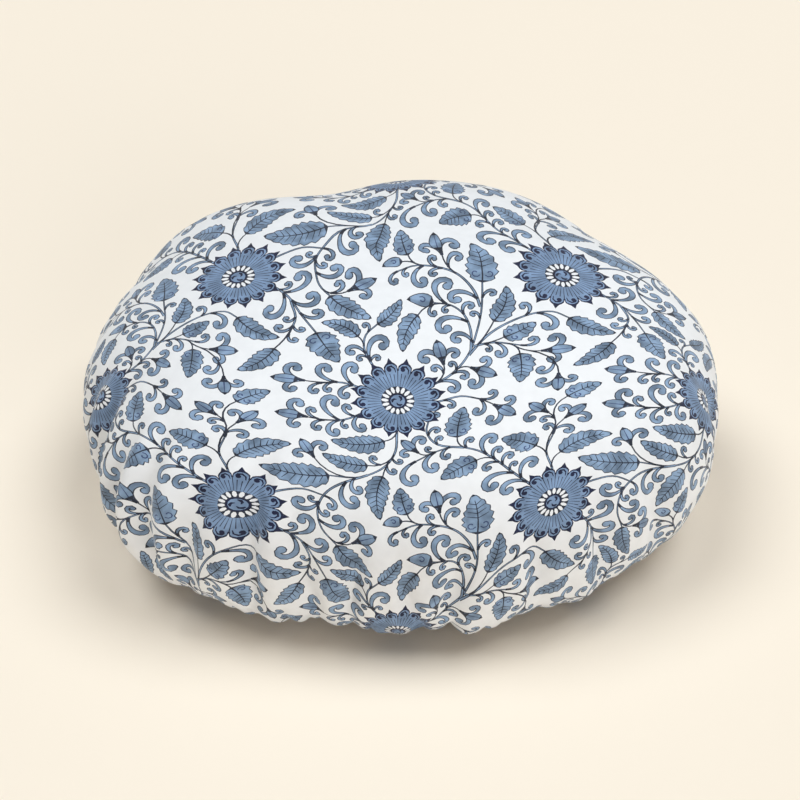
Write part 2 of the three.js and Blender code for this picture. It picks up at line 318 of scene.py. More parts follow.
def even_turns(count):
    return np.arange(count) * FULL_TURN / count


def circle(centre, radius, corners):
    return centre + radius * units(even_turns(corners))


def smooth_path(points, per_span=4):
    """A curve through the points."""
    before = np.vstack([2 * points[:1] - points[1:2], points[:-2]])
    after = np.vstack([points[2:], 2 * points[-1:] - points[-2:-1]])
    step = np.linspace(0, 1, per_span, endpoint=False)[:, None]
    spans = []
    for p0, p1, p2, p3 in zip(before, points[:-1], points[1:], after):
        bow = 2 * p0 - 5 * p1 + 4 * p2 - p3 + step * (3 * (p1 - p2) + p3 - p0)
        spans.append(p1 + 0.5 * step * (p2 - p0 + step * bow))
    return np.vstack(spans + [points[-1:]])


def arc_path(start, heading, turn, length, steps, tighten=0.0):
    """A path that leaves start along heading and turns, more sharply towards its end."""
    share = np.linspace(0, 1, steps)
    angles = heading + turn * ((1 - tighten) * share + tighten * share ** 3)
    hops = units((angles[1:] + angles[:-1]) / 2) * (length / (steps - 1))
    return np.vstack([[start], start + np.cumsum(hops, axis=0)]), angles[-1]


def tangents(path):
    along = np.gradient(path, axis=0)
    return along / np.linalg.norm(along, axis=1, keepdims=True)


def sideways(along):
    return np.stack([-along[:, 1], along[:, 0]], 1)


def ribbon(path, half_widths):
    """The outline of a stroke along a path."""
    side = sideways(tangents(path)) * np.broadcast_to(half_widths, len(path))[:, None]
    return np.vstack([path - side, (path + side)[::-1]])


def line(path, half_widths):
    """A stroke that goes evenly from one half width to another."""
    return ribbon(path, np.linspace(*half_widths, len(path)))


def room_along(path, radii):
    """Circles that cover a stroke, as rows of a place and a radius."""
    return np.column_stack([path, np.broadcast_to(radii, len(path))])


def drop_half(steps, widest, taper, fullness, teeth=1.0):
    """Half widths of a drop, which is widest before its middle and comes to a point."""
    share = np.linspace(0, 1, steps)
    return np.maximum(widest * np.sin(math.pi * share ** taper) ** fullness * teeth, TIP_HALF)


def outlined(spine, half, inset=0.02):
    dark = np.append(half[:-1] + OUTLINE, half[-1])
    return [(SLATE, ribbon(spine, dark)), (BLUE, ribbon(spine[1:-1], half[1:-1] - inset))]


def spiral(centre, heading, side, radius, steps=8, start=0.2, end=1.75 * math.pi, least=0.35):
    """A small curl inside a leaf or bud."""
    angle = heading + side * np.linspace(start, end, steps)
    reach = np.linspace(least, 1.0, steps) * radius
    return DEEP, line(centre + units(angle) * reach[:, None], SPIRAL_HALF)


# A leaf: lobes for each least length, widths of a lobe's three points, taper and fullness of its outline
LEAF_LOBES = ((24, 7), (17, 6), (0, 5))
LEAF_TEETH = np.array((0.88, 1.0, 1.1))
LEAF_DROP = (0.66, 0.85)


def veins(spine, half, length, first, slant=0.085, reach=0.78):
    """Pairs of slanting veins, short of the leaf's edge."""
    along = tangents(spine)
    across = sideways(along)
    for i in range(first, len(spine) - 4, 2):
        for flank in (-1, 1):
            end = spine[i] + along[i] * length * slant + across[i] * flank * half[i] * reach
            yield SLATE, line(np.array([spine[i], end]), VEIN_HALF)


def foot_curls(spine, half, heading, point=4, out=0.5, size=0.36, turn=1.2):
    across = sideways(tangents(spine))[point]
    for flank in (-1, 1):
        eye = spine[point] + across * flank * half[point] * out
        yield spiral(eye, heading - flank * turn, flank, half[point] * size)


def leaf(base, heading, length, side, width_share=0.40, bend=0.75, first_vein=2, curls=False, lead=0.35):
    """A serrated leaf with a midrib and veins, turned back at its base by a share of its bend."""
    lobes = next(count for longer, count in LEAF_LOBES if length > longer)
    steps = 3 * lobes + 1
    spine, _ = arc_path(base, heading - side * bend * lead, side * bend, length, steps)
    half = drop_half(steps, width_share * length / 2, *LEAF_DROP, LEAF_TEETH[np.arange(steps) % 3])
    shapes = outlined(spine, half, inset=0.03)
    shapes.append((SLATE, line(spine[:-2:3], MIDRIB_HALF)))
    shapes += veins(spine, half, length, first_vein)
    if curls:
        shapes += foot_curls(spine, half, heading)
    return shapes, room_along(spine[1::2], half[1::2] + OUTLINE)


def heart(base, heading, length, side):
    """A broad leaf with two curls at its foot."""
    return leaf(base, heading, length, side, width_share=0.58, bend=0.38, first_vein=7, curls=True)


# Buds and petals: points of the spine, half width as a share of the length, taper and fullness
BUD_DROP = (8, 0.27, 0.66, 0.95)
PETAL_DROP = (7, 0.24, 0.85, 0.8)


def drop(base, heading, bend, length, steps, share, taper, fullness):
    """A pointed blue drop with a dark outline: shapes, room and spine."""
    spine, _ = arc_path(base, heading - bend / 2, bend, length, steps)
    half = drop_half(steps, share * length, taper, fullness)
    return outlined(spine, half), room_along(spine[::2], half[::2] + OUTLINE), spine


def bud(base, heading, length, side, bend=0.6, curl=0.15):
    """A drop-shaped bud with a spiral in it."""
    shapes, room, spine = drop(base, heading, bend * side, length, *BUD_DROP)
    return shapes + [spiral(spine[3], heading, side, curl * length)], room


def petal(base, heading, length):
    """A plain pointed petal with a line down its middle."""
    shapes, room, spine = drop(base, heading, 0.0, length, *PETAL_DROP)
    return shapes + [(DEEP, line(spine[[1, -2]], PETAL_LINE_HALF))], room


# Hooks above the first size have more points, and above the second one they get no thicker
LARGE_HOOK = 14.0
THICKEST_HOOK = 22.0
HOOK_STEPS = (10, 14)
BULB_CORNERS = (8, 10)
# The round end: its radius and room, how far from the hook's tip and in which direction
BULB_RADIUS = 0.082
BULB_ROOM = 0.085
BULB_SHIFT = 0.03
BULB_TURN = 1.2


def hook(start, heading, size, side, turn=275.0, tighten=0.75, thin=0.012, swell=0.045, swell_end=0.75):
    """A tendril that swells and curls over into a round end."""
    large = size > LARGE_HOOK
    steps, corners = HOOK_STEPS[large], BULB_CORNERS[large]
    thick = min(size, THICKEST_HOOK)
    path, angle = arc_path(start, heading, side * math.radians(turn), size, steps, tighten)
    half = thick * (thin + swell * np.sin(math.pi * np.linspace(0, 1, steps) * swell_end) ** 2)
    bulb = path[-1] + unit(angle + side * BULB_TURN) * thick * BULB_SHIFT
    room = np.vstack([room_along(path, half + OUTLINE), [[*bulb, thick * BULB_ROOM + OUTLINE]]])
    radius = thick * BULB_RADIUS
    shapes = [(SLATE, ribbon(path, half + OUTLINE)), (SLATE, circle(bulb, radius + OUTLINE, corners))]
    shapes += [(BLUE, ribbon(path[2:], half[2:])), (BLUE, circle(bulb, radius, corners))]
    return shapes, room


def trefoil(start, heading, size, side, hooks=(0.85, 1.05), splay=0.1, petal_start=0.14, petal_size=0.6):
    """A pointed petal between two hooks that curl away from it."""
    shapes, room = [], []
    for flank, share in zip((-side, side), hooks):
        made, taken = hook(start, heading + flank * splay, size * share, flank)
        shapes += made
        room.append(taken)
    made, taken = petal(start + unit(heading) * size * petal_start, heading, size * petal_size)
    return shapes + made, np.vstack([taken] + room)


# The flower, with lengths as shares of its radius
FLOWER_RADIUS = 22.2
PETAL_COUNT = 16
# Outlines in one petal: shares of the petal's width and of the flower's radius
PETAL_EDGE = (
    (-0.5, 0.76), (-0.44, 0.845), (-0.29, 0.892), (-0.16, 0.922),
    (0.02, 1.03), (0.17, 0.917), (0.31, 0.882), (0.45, 0.835),
)
PETAL_FILL = (
    (-0.43, 0.62), (-0.43, 0.79), (-0.34, 0.838), (-0.15, 0.875),
    (0.06, 0.878), (0.26, 0.852), (0.42, 0.79), (0.43, 0.62),
)
PETAL_CURL = ((-0.34, 0.68), (-0.27, 0.775), (-0.06, 0.832), (0.18, 0.815), (0.28, 0.765))
PETAL_CURL_HALF = np.array((0.008, 0.015, 0.022, 0.026, 0.02))
CURL_SPOT = (0.13, 0.755)
# Fine rays of one petal: share of its width, how far out the ray goes
PETAL_RAYS = ((-0.5, 0.74), (-0.17, 0.64), (0.17, 0.66))
# Discs under the petals, the ovals and the swirl: colour, radius and corners
PETAL_DISC = (FLOWER, 0.72, 32)
OVAL_DISC = (SLATE, 0.355, 28)
SWIRL_DISCS = ((NAVY, 0.19, 14), (FLOWER, 0.155, 12))
COMMA_HALF = np.array((0.008, 0.022, 0.03, 0.012))


def disc(centre, radius, colour, share, corners):
    return colour, circle(centre, share * radius, corners)


def petals(centre, radius, spot=0.052, corners=7, ray_start=0.34, ray_half=(0.035, 0.02)):
    """Pointed petals with dark tips, curls and fine rays."""
    step = FULL_TURN / PETAL_COUNT

    def spots(middle, pairs):
        return np.array([centre + unit(middle + offset * step) * reach * radius for offset, reach in pairs])

    middles = (np.arange(PETAL_COUNT) + 0.5) * step
    shapes = [(NAVY, np.vstack([spots(middle, PETAL_EDGE) for middle in middles]))]
    shapes += [(FLOWER, spots(middle, PETAL_FILL)) for middle in middles]
    shapes.append(disc(centre, radius, *PETAL_DISC))
    outer, inner = ray_half
    for middle in middles:
        shapes.append((NAVY, circle(spots(middle, [CURL_SPOT])[0], spot * radius, corners)))
        shapes.append((NAVY, ribbon(spots(middle, PETAL_CURL), PETAL_CURL_HALF * radius)))
        for offset, reach in PETAL_RAYS:
            ray = ((offset - outer, reach), (offset + outer, reach),
                   (offset + inner, ray_start), (offset - inner, ray_start))
            shapes.append((SLATE, spots(middle, ray)))
    return shapes


def ovals(centre, radius, count=16, corners=7, middle=0.276, half_length=0.082, half_width=0.04):
    ring = circle(np.zeros(2), 1.0, corners)
    for k in range(count):
        out = unit(k * FULL_TURN / count)
        across = np.array((-out[1], out[0]))
        oval = out * (middle + half_length * ring[:, :1]) + across * half_width * ring[:, 1:]
        yield GROUND, centre + radius * oval


def swirl(centre, radius, count=3, step=2.1, start=0.05, lead=0.6, turn=2.4, length=0.16):
    for k in range(count):
        foot = centre + unit(k * step) * start * radius
        comma, _ = arc_path(foot, k * step + lead, turn, length * radius, len(COMMA_HALF))
        yield NAVY, ribbon(comma, COMMA_HALF * radius)


def rosette(centre, radius=FLOWER_RADIUS, room=0.97):
    """A round flower: petals, ovals and a swirl."""
    shapes = petals(centre, radius)
    shapes.append(disc(centre, radius, *OVAL_DISC))
    shapes += ovals(centre, radius)
    shapes += [disc(centre, radius, *part) for part in SWIRL_DISCS]
    shapes += swirl(centre, radius)
    return shapes, np.array([[*centre, radius * room]])


FLOWERS = np.array(((0.0, 0.0), REPEAT / 2))
# Main stems of each flower: points from its centre, the ornament at the tip and its size
MAIN_STEMS = ((
    (((17, 9), (25, 14), (32, 23), (36, 34), (38.5, 49), (37.5, 66)), heart, 23),
    (((34, 27), (34, 38), (31, 47), (25, 52), (17, 53)), bud, 13),
    (((38, 52), (34.5, 61), (28, 69), (20, 73), (9, 74), (0, 70)), trefoil, 18),
    (((33, 24), (41, 34.5), (50, 43), (59, 48.5), (68, 50), (75, 46)), leaf, 24),
    (((35, 29), (45, 31), (56, 29)), trefoil, 17),
    (((-0.5, -21), (-1, -31), (-5, -40), (-11.5, -46), (-20, -50), (-32, -51)), leaf, 32),
    (((-14, -47.5), (-27, -55), (-34.5, -62.5), (-38, -72), (-36.5, -82), (-30, -90)), leaf, 28),
    (((-17, 5), (-26, 7), (-35, 6)), trefoil, 19),
    (((-12, 18), (-16, 26), (-15.5, 34), (-10, 40)), leaf, 22),
    (((-16, -9), (-25, -15), (-34, -17)), trefoil, 17),
    (((19, -1), (29, 1), (38, -2)), trefoil, 17),
), (
    (((-15, 16.5), (-22, 24.5), (-29, 33), (-37, 40.5), (-47, 44.5), (-56, 42.5), (-65, 37)), hook, 24),
    (((-43, 43.5), (-55, 47), (-60, 55), (-59, 63)), leaf, 23),
    (((17, -10), (26.5, -18), (32, -27), (36.5, -37)), heart, 25),
    (((26, -17.5), (29, -27), (26, -37)), trefoil, 17),
    (((-2, 21), (-5, 32), (-2, 42)), trefoil, 17),
    (((19, 10), (29, 13), (39, 11)), trefoil, 17),
))
# A stem that starts this near a flower's centre goes on under it, to this share of its radius
STEM_ROOT = 25.0
STEM_UNDER_FLOWER = 0.7
# What fills the rest, from large to small: ornament, size, stalk, how many at most
FILLING = (
    (leaf, 26, 10, 3), (heart, 19, 9, 4), (trefoil, 19, 12, 8), (leaf, 22, 16, 4),
    (hook, 24, 0, 8), (trefoil, 17, 22, 8), (heart, 16, 16, 4), (leaf, 19, 10, 4),
    (trefoil, 16, 10, 10), (hook, 20, 0, 12), (bud, 14, 12, 6), (trefoil, 15, 18, 10),
    (leaf, 16, 12, 5), (hook, 17, 0, 20), (trefoil, 13, 8, 12), (bud, 12, 8, 8),
    (hook, 15, 0, 24), (trefoil, 12, 14, 12), (bud, 10, 6, 10), (hook, 12.5, 0, 40),
    (bud, 9, 5, 12), (hook, 10.5, 0, 50), (hook, 8.5, 0, 50),
)
STALK_STRETCHES = (1.0, 0.6)
STALK_TURNS = (0.35, 0.8, 1.3)
STALK_STEPS = 6
HOOK_SPLAY = 0.55
# Ornaments start from a stem's points, but for the ones at its ends
STEM_MIDDLE = slice(2, -2)
# Of this many chosen places, an ornament takes the one with the most room
TRIES = 6
PRINT_SEED = 5
# Air round each ornament, but for the first points of a sprout or tip, which touch their stem
ORNAMENT_GAP = 0.6
SPROUT_FOOT = 4
TIP_FOOT = 3
# What a stem's tip tries: shares of the ornament's size, then sizes of a plain hook
TIP_SHARES = (1.0, 0.85, 0.7)
TIP_HOOKS = (13, 9)
# The map of free room: its cells, and the largest distance that it keeps
GAP_CELL = 0.6
GAP_LIMIT = 9.0


class Repeat:
    """The shapes of one repeat, and how far each spot of it is from the nearest shape."""

    def __init__(self):
        self.shapes = []
        self.stems = []
        self.size = np.round(REPEAT / GAP_CELL).astype(int)
        self.gap = np.full(self.size, GAP_LIMIT)
        self.grid = [np.arange(n) * span / n for n, span in zip(self.size, REPEAT)]

    def add(self, shapes, room):
        self.shapes += shapes
        for x, y, radius in room:
            dx, dy = [np.abs((grid - at + span / 2) % span - span / 2)
                      for grid, at, span in zip(self.grid, (x, y), REPEAT)]
            i, j = [np.flatnonzero(distance < radius + GAP_LIMIT) for distance in (dx, dy)]
            near = np.ix_(i, j)
            self.gap[near] = np.minimum(self.gap[near], np.hypot(dx[i][:, None], dy[j]) - radius)

    def add_stem(self, path, half_widths, core_widths=None):
        shapes = [(SLATE, line(path, half_widths))]
        if core_widths:
            shapes.append((BLUE, line(path, core_widths)))
        self.add(shapes, room_along(path, np.linspace(*half_widths, len(path))))
        self.stems.append(path)

    def room_at(self, x, y):
        i, j = [np.round(at / span * n).astype(int) % n for at, span, n in zip((x, y), REPEAT, self.size)]
        return self.gap[i, j]


def sprout(kind, size, stalk, side, turn):
    """An ornament on its stalk, from the origin along the x axis: shapes, room and stalk."""
    origin = np.zeros(2)
    if not stalk:
        return (*hook(origin, side * turn * HOOK_SPLAY, size, side), None)
    path, angle = arc_path(origin, 0.0, side * turn, stalk, STALK_STEPS)
    shapes, room = kind(path[-1], angle, size, side)
    return shapes, np.vstack([room_along(path, TWIG_HALF[0]), room]), path


def places_for(sprouts, starts, along, repeat):
    """Each stem point where a sprout has room, with the room left round it."""
    found = []
    for n, (_, room, _) in enumerate(sprouts):
        x, y, radius = room[SPROUT_FOOT:].T
        left = repeat.room_at(starts[:, :1] + along[:, :1] * x - along[:, 1:] * y,
                              starts[:, 1:] + along[:, 1:] * x + along[:, :1] * y) - radius
        fits = (left > ORNAMENT_GAP).all(axis=1)
        found += [(left[k].mean(), n, k) for k in np.flatnonzero(fits)]
    return found


def fill_repeat(repeat):
    """Grows ornaments from the stems until each kind has no room left."""
    rng = np.random.default_rng(PRINT_SEED)
    for kind, size, stalk, most in FILLING:
        sprouts = []
        for stretch in (STALK_STRETCHES if stalk else (0.0,)):
            for turn in STALK_TURNS:
                sprouts += [sprout(kind, size, stalk * stretch, side, turn) for side in (-1, 1)]
        for _ in range(most):
            starts = np.vstack([path[STEM_MIDDLE] for path in repeat.stems])
            along = np.vstack([tangents(path)[STEM_MIDDLE] for path in repeat.stems])
            found = places_for(sprouts, starts, along, repeat)
            if not found:
                break
            _, n, k = max(found[i] for i in rng.integers(len(found), size=TRIES))
            shapes, room, path = sprouts[n]
            turn = np.array((along[k], (-along[k, 1], along[k, 0])))
            if path is not None:
                repeat.add_stem(path @ turn + starts[k], TWIG_HALF)
            repeat.add([(colour, outline @ turn + starts[k]) for colour, outline in shapes],
                       np.column_stack([room[:, :2] @ turn + starts[k], room[:, 2]]))


def tip_ornament(repeat, start, heading, kind, size):
    """The ornament at a stem's tip, smaller or turned over where there is little room."""
    sides = (1, -1)
    choices = [kind(start, heading, size * share, side) for share in TIP_SHARES for side in sides]
    choices += [hook(start, heading, small, side) for small in TIP_HOOKS for side in sides]
    for made, room in choices:
        x, y, radius = room[TIP_FOOT:].T
        if (repeat.room_at(x, y) > radius + ORNAMENT_GAP).all():
            break
    repeat.add(made, room)


def draw_repeat():
    """Coloured outlines of one repeat, in painting order."""
    repeat = Repeat()
    flowers, tips = [], []
    for centre, stems in zip(FLOWERS, MAIN_STEMS):
        shapes, room = rosette(centre)
        flowers += shapes
        repeat.add([], room)
        for points, kind, size in stems:
            points = np.array(points, float)
            reach = np.hypot(*points[0])
            if reach < STEM_ROOT:
                points = np.vstack([points[:1] * FLOWER_RADIUS * STEM_UNDER_FLOWER / reach, points])
            path = smooth_path(points + centre)
            repeat.add_stem(path, STEM_HALF, STEM_CORE)
            along = tangents(path)[-1]
            tips.append((path[-1], math.atan2(along[1], along[0]), kind, size))
    for tip in tips:
        tip_ornament(repeat, *tip)
    fill_repeat(repeat)
    return repeat.shapes + flowers


# Half repeats across and along the print, and their place on the disc's right half; the left mirrors it
PRINT_PINS = (
    (0, 0, 0, -91), (0, 2, 0, 102), (0, -2, 0, -212), (1, 1, 68, -4), (1, -1, 73, -124),
    (2, 0, 139, -41), (2, 2, 140, 75), (2, -2, 147, -160), (3, 1, 207, 29), (3, -1, 212, -100),
    (0, 4, 0, 240), (1, 3, 70, 178), (1, -3, 112, -245), (2, 4, 140, 215), (3, 3, 205, 150),
)
# How many repeats each way from the middle can fall on the disc
REPEATS = range(-2, 3)
# From here the cloth is turned under, and the print leaves out its finest lines
HIDDEN_RADIUS = 232.0
RIM_MARGIN = 0.5


def print_warp():
    """A map from the print to the cut disc, which bends like a thin sheet through the pins."""
    pins = np.array(PRINT_PINS, float)
    pins = np.vstack([pins, pins[pins[:, 0] > 0] * (-1, 1, -1, 1)])
    source, target = np.hsplit(pins, 2)

    def terms(grid):
        gaps = np.linalg.norm(grid[:, None] - source, axis=2)
        bend = gaps ** 2 * np.log(np.maximum(gaps, 1e-6))
        return np.column_stack([bend, np.ones(len(grid)), grid])

    rows = terms(source)
    system = np.vstack([rows, np.pad(rows[:, -3:].T, ((0, 0), (0, 3)))])
    weights = np.linalg.solve(system, np.pad(target, ((0, 3), (0, 0))))
    return lambda points: terms(points / (REPEAT / 2)) @ weights


def print_on_disc():
    """Every shape of the print that falls on the cut disc, in painting order."""
    warp = print_warp()
    shapes = draw_repeat()
    ends = np.cumsum([len(outline) for _, outline in shapes])
    flat = np.vstack([outline for _, outline in shapes])
    steps = [np.array((i, j)) * REPEAT for i in REPEATS for j in REPEATS]
    moved = [np.split(warp(flat + step), ends[:-1]) for step in steps]
    printed = []
    for (colour, _), *copies in zip(shapes, *moved):
        limit = HIDDEN_RADIUS if colour in (GROUND, DEEP) else FLAT_RADIUS - RIM_MARGIN
        printed += [(colour, outline) for outline in copies if np.hypot(*outline.T).min() < limit]
    return printed


# Spacing of the extra points that let the disc bend, on the dome and in the gathers
DOME_SPACING = 5.6
GATHER_SPACING = 3.4
GATHER_START = 165.0
ROW_SPACING = 0.87
RIM_SPACING = 0.6
RIM_POINTS = 540
MERGE_DISTANCE = 1e-3


def bending_points():
    """An even scatter of points over the disc, closer where it gathers."""
    rings = []
    radius = 0.0
    while radius < FLAT_RADIUS - GATHER_SPACING * RIM_SPACING:
        spacing = DOME_SPACING if radius < GATHER_START else GATHER_SPACING
        count = max(1, round(FULL_TURN * radius / spacing))
        turn = FULL_TURN * (np.arange(count) + 0.5 * (len(rings) % 2)) / count
        rings.append(radius * units(turn))
        radius += spacing * ROW_SPACING
    return np.vstack(rings)


def thin_out(points, taken, cell=1.6):
    """The points with no taken point in their own cell or the next ones."""
    used = set(map(tuple, np.floor(taken / cell).astype(int).tolist()))
    cells = np.floor(points / cell).astype(int).tolist()
    free = [not any((i + a, j + b) in used for a in (-1, 0, 1) for b in (-1, 0, 1)) for i, j in cells]
    return points[free]


def inside(outline, points):
    """Which points lie inside an outline, by its winding round them."""
    (x0, y0), (x1, y1) = outline.T, np.roll(outline, -1, axis=0).T
    x, y = points[:, :1], points[:, 1:]
    side = (x1 - x0) * (y - y0) - (x - x0) * (y1 - y0)
    up = (y0 <= y) & (y1 > y) & (side > 0)
    down = (y0 > y) & (y1 <= y) & (side < 0)
    return up.sum(1) != down.sum(1)


def colour_triangles(middles, printed):
    """The colour of each triangle: that of the last shape painted over its middle."""
    colours = np.full(len(middles), GROUND)
    order = np.argsort(middles[:, 0])
    sorted_x = middles[order, 0]
    for colour, outline in printed:
        (left, bottom), (right, top) = outline.min(0), outline.max(0)
        near = order[np.searchsorted(sorted_x, left):np.searchsorted(sorted_x, right)]
        height = middles[near, 1]
        near = near[(height >= bottom) & (height <= top)]
        colours[near[inside(outline, middles[near])]] = colour
    return colours


def printed_disc():
    """Points, triangles and colours of the flat printed disc."""
    printed = print_on_disc()
    rim = circle(np.zeros(2), FLAT_RADIUS, RIM_POINTS)
    outlines = [rim] + [outline for _, outline in printed]
    drawn = np.vstack(outlines)
    points = np.vstack([drawn, thin_out(bending_points(), drawn)])
    edges = []
    count = 0
    for outline in outlines:
        here = np.arange(len(outline))
        edges.append(np.stack([here, np.roll(here, -1)], 1) + count)
        count += len(outline)
    corners = [Vector(point) for point in points.tolist()]
    made = delaunay_2d_cdt(corners, np.vstack(edges).tolist(), [], 0, MERGE_DISTANCE, False)
    flat = np.array([tuple(point) for point in made[0]])
    triangles = np.array(made[2])
    middles = flat[triangles].mean(axis=1)
    kept = np.hypot(*middles.T) < FLAT_RADIUS
    used, triangles = np.unique(triangles[kept], return_inverse=True)
    return flat[used], triangles.reshape(-1, 3), colour_triangles(middles[kept], printed)


# The flat map for the weave, and a cut disc's radius on it
MAP_NAME = "OFBake"
MAP_RADIUS = 0.49


def new_object(name, points, faces, materials):
    """A smooth mesh object from points in millimetres."""
    mesh = bpy.data.meshes.new(name)
    mesh.from_pydata((points * MM).tolist(), [], [list(face) for face in faces])
    mesh.polygons.foreach_set("use_smooth", np.ones(len(mesh.polygons), bool))
    for material in materials:
        mesh.materials.append(material)
    obj = bpy.data.objects.new(name, mesh)
    bpy.context.scene.collection.objects.link(obj)
    return obj


def give_map(obj, corners):
    """Lays the piece out flat, with a pair of numbers for each face corner."""
    layer = obj.data.uv_layers.new(name=MAP_NAME)
    layer.data.foreach_set("uv", np.asarray(corners, np.float32).ravel())


def disc_map(flat):
    return 0.5 + MAP_RADIUS * flat / FLAT_RADIUS


def printed_shell(materials):
    """The outer cloth, gathered, with the print's colours on its triangles."""
    flat, triangles, colours = printed_disc()
    shell = new_object("printed_shell", gathered(flat), triangles, materials)
    shell.data.polygons.foreach_set("material_index", colours.astype(np.int32))
    give_map(shell, disc_map(flat)[triangles])
    shell.data.normals_split_custom_set_from_vertices(gathered_normals(flat).tolist())
    return shell


def ring_faces(rings, columns):
    """Quads of a grid of rings, each closed on itself."""
    k = np.arange(rings - 1)[:, None] * columns
    here = np.arange(columns)
    after = (here + 1) % columns
    return np.stack([k + here, k + columns + here, k + columns + after, k + after], -1).reshape(-1, 4)


def film_lining(material, rings=70, columns=360, crown_share=0.004):
    radius = np.linspace(crown_share, 1, rings)[:, None, None] * FLAT_RADIUS
    flat = (radius * units(even_turns(columns))).reshape(-1, 2)
    faces = ring_faces(rings, columns).tolist() + [list(range(columns))]
    lining = new_object("film_lining", gathered(flat, LINING_DEPTH), faces, [material])
    give_map(lining, disc_map(flat)[np.concatenate(faces)])
    return lining


# The hem's puckers: how many, how deep and how uneven
PUCKER_COUNT = 61
PUCKER_DEPTH = 1.2
PUCKER_ROUNDNESS = 1.4
PUCKER_WANDER = ((5, 0.9, 0.3), (13, 0.7, 1.1))
PUCKER_LEVEL = 0.8
PUCKER_SWELL = (7, 0.2, 2.0)
# A pucker's profile: shares of its depth and of the height of its middle; the lip puckers less
PUCKER_PROFILE = ((0.75, 0.55), (1.0, 1.0), (0.7, 1.45))
LIP_PUCKER = 0.25
# Small roundings of the strip: the bottom fold, the dent along the seam and the lip
FOLD_INSET = 0.2
FOLD_RISE = 0.25
SEAM_DENT = 0.12
SEAM_HALF = 0.5
LIP_INSET = 0.25
LIP_DROP = 0.3

# The seam's stitches, with blunt ends that sink into the hem
STITCH_HEIGHT = 9.25
STITCH_LENGTH = 3.3
STITCH_COUNT = 128
STITCH_BLUNTNESS = 6
STITCH_TIP = 0.02
STITCH_LIFT = 0.9
STITCH_SINK = 0.35
THREAD_RADIUS = 0.3


def hem_section(pucker):
    """The folded strip's section: up its outside, through the channel and down its inside."""
    middle = (HEM_WALL + STITCH_HEIGHT) / 2
    wall = [(-FOLD_INSET, FOLD_RISE), (0, HEM_WALL)]
    wall += [(pucker * depth, middle * height) for depth, height in PUCKER_PROFILE]
    wall += [(0, STITCH_HEIGHT - SEAM_HALF), (-SEAM_DENT, STITCH_HEIGHT), (0, STITCH_HEIGHT + SEAM_HALF)]
    wall += [(pucker * LIP_PUCKER, HEM_HEIGHT - LIP_DROP), (-LIP_INSET, HEM_HEIGHT)]
    channel = [(0, HEM_HEIGHT - LIP_DROP), (0, STITCH_HEIGHT), (pucker, middle), (0, HEM_WALL)]
    out, inner = HEM_OUTER_RADIUS, HEM_INNER_RADIUS
    section = [(inner + HEM_WALL, 0.0), (out - HEM_WALL, 0.0)]
    section += [(out + swell, height) for swell, height in wall]
    section += [(out - HEM_WALL + swell, height) for swell, height in channel]
    section += [(inner + HEM_WALL - swell, height) for swell, height in reversed(channel)]
    section += [(inner - swell, height) for swell, height in reversed(wall)]
    return np.array(section)


def gathered_hem(material, columns=732):
    turn = even_turns(columns)
    wander = turn * PUCKER_COUNT + ripple(turn, PUCKER_WANDER)
    swell = PUCKER_LEVEL + ripple(turn, [PUCKER_SWELL])
    puckers = PUCKER_DEPTH * np.abs(np.sin(wander / 2)) ** PUCKER_ROUNDNESS * swell
    sections = np.stack([hem_section(pucker) for pucker in puckers], 1)
    sides = len(sections)
    faces = ring_faces(sides + 1, columns)
    wide = faces % columns / columns
    wide[:, 2:] = np.where(wide[:, 2:] < wide[:, :1], 1.0, wide[:, 2:])
    tall = faces // columns / sides
    faces = (faces % (sides * columns))[:, ::-1]
    points = round_axis(sections[..., 0], turn, sections[..., 1]).reshape(-1, 3)
    hem = new_object("gathered_hem", points, faces, [material])
    give_map(hem, np.stack([wide, tall], -1)[:, ::-1])
    return hem


def seam_stitches(name, radius, facing, material, rings=7, sides=8):
    """Short raised stitches round one wall of the hem."""
    share = np.linspace(-1, 1, rings)[:, None]
    girth = THREAD_RADIUS * np.sqrt(np.maximum(1 - share ** STITCH_BLUNTNESS, STITCH_TIP))
    rise = radius + facing * (THREAD_RADIUS * STITCH_LIFT - STITCH_SINK * share ** 4)
    roll = even_turns(sides)
    reach = rise + girth * np.cos(roll)
    height = STITCH_HEIGHT + girth * np.sin(roll)
    points, faces = [], []
    for k in range(STITCH_COUNT):
        turn = FULL_TURN * k / STITCH_COUNT + share * STITCH_LENGTH / 2 / radius
        points.append(round_axis(reach, turn, height).reshape(-1, 3))
        first, end = k * rings * sides, (k + 1) * rings * sides
        faces += (ring_faces(rings, sides) + first).tolist()
        faces += [list(range(first, first + sides)), list(range(end - 1, end - sides - 1, -1))]
    return new_object(name, np.vstack(points), faces, [material])


# Colours, as linear values
FILM_WHITE = (0.82, 0.82, 0.80, 1)
HEM_WHITE = (0.84, 0.84, 0.83, 1)
ELASTIC_WHITE = (0.85, 0.84, 0.80, 1)
THREAD_WHITE = (0.86, 0.86, 0.86, 1)
FLOOR_CREAM = (0.955, 0.852, 0.720, 1)
BACKDROP_CREAM = (0.956, 0.890, 0.745, 1)
# The print's inks in the order of their numbers: name, colour, and the share by which it varies
INKS = (
    ("ground", (0.89, 0.90, 0.92, 1), 0.02), ("blue", (0.212, 0.304, 0.438, 1), 0.36),
    ("slate", (0.024, 0.030, 0.050, 1), 0.4), ("navy", (0.012, 0.016, 0.048, 1), 0.3),
    ("deep", (0.045, 0.070, 0.165, 1), 0.3), ("flower", (0.202, 0.298, 0.460, 1), 0.2),
)
HEM_VARIATION = 0.03

# The weave: widths of a thread, a slub and a lighter or darker patch, and a patch's noise values
THREAD_WIDTH = 0.8
SLUB_WIDTH = 6.0
PATCH_WIDTH = 7.0
PATCH_STOPS = (0.36, 0.64)
# A wave texture has about this many threads in one unit of its scale
THREADS_PER_SCALE = 20


